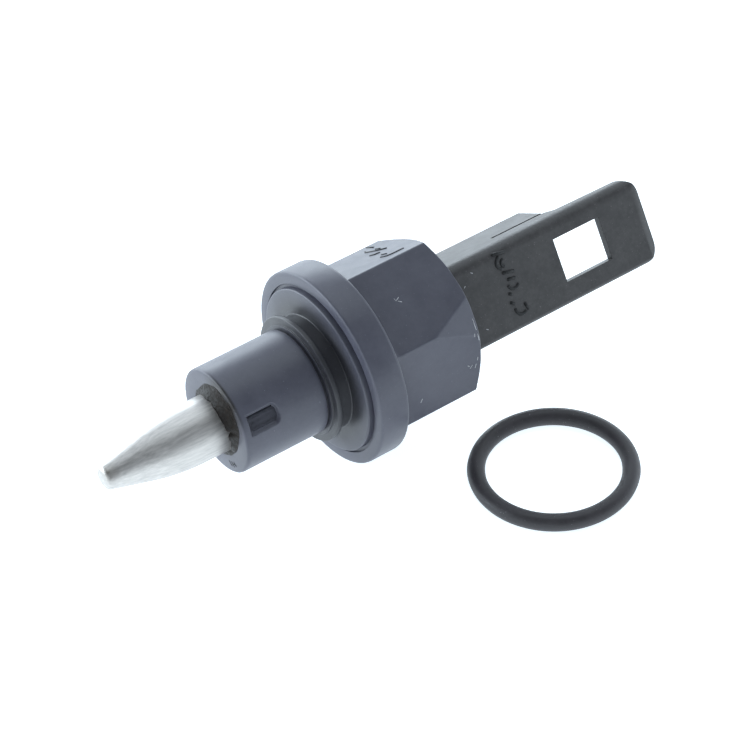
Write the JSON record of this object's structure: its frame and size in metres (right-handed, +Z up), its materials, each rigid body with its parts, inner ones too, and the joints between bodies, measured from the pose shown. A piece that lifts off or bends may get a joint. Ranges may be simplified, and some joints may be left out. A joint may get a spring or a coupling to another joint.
{
  "type": "boiler temperature probe",
  "caption": "Plug-in boiler probe: metal bullet tip, stepped plastic body with flange and hexagon, and a two-pin socket with a windowed latch tongue, with its loose O-ring beside it.",
  "frame": {"origin": "middle of the bounding box, on the surface that the flange and the O-ring lie on", "axes": "+X along the probe from the metal tip to the socket, +Z up from the surface, O-ring on the -Y side"},
  "size_m": [0.084, 0.0482, 0.0273],
  "materials": {
    "body_plastic": "slate blue-grey glass-filled plastic, faint sheen",
    "socket_plastic": "dark neutral grey moulded plastic, slightly rough",
    "sheath_metal": "satin drawn metal with fine marks along it",
    "resin": "dark brown set resin, uneven",
    "paste": "white heat paste",
    "bead_glass": "amber glass",
    "wire_metal": "bare wire",
    "sleeve_plastic": "thin off-white sleeve",
    "tinned_brass": "tinned, bright",
    "rubber": "black moulded rubber, satin"
  },
  "bodies": {
    "probe": {"probe_body": "body_plastic", "connector_housing": "socket_plastic", "sensor_tip": "sheath_metal", "tip_potting": "resin", "cavity_seal": "resin", "thermal_filler": "paste", "thermistor_bead": "bead_glass", "lead_a": "wire_metal", "lead_b": "wire_metal", "lead_sleeve_a": "sleeve_plastic", "lead_sleeve_b": "sleeve_plastic", "terminal_a": "tinned_brass", "terminal_b": "tinned_brass"},
    "latch": {"latch_tongue": "socket_plastic"},
    "seal": {"o_ring": "rubber"}
  },
  "joints": [
    {"name": "latch_flex", "type": "hinge", "parent": "probe", "child": "latch", "pos_m": [0.02028, 0.00651, 0.01593], "axis": [0, -0.5, -0.866], "range_deg": [0, 5], "stiffness_Nm_per_rad": 1.2},
    {"name": "o_ring_lift", "type": "slide", "parent": "probe", "child": "seal", "axis": [0, 0, 1], "range_m": [0, 0.03]}
  ]
}
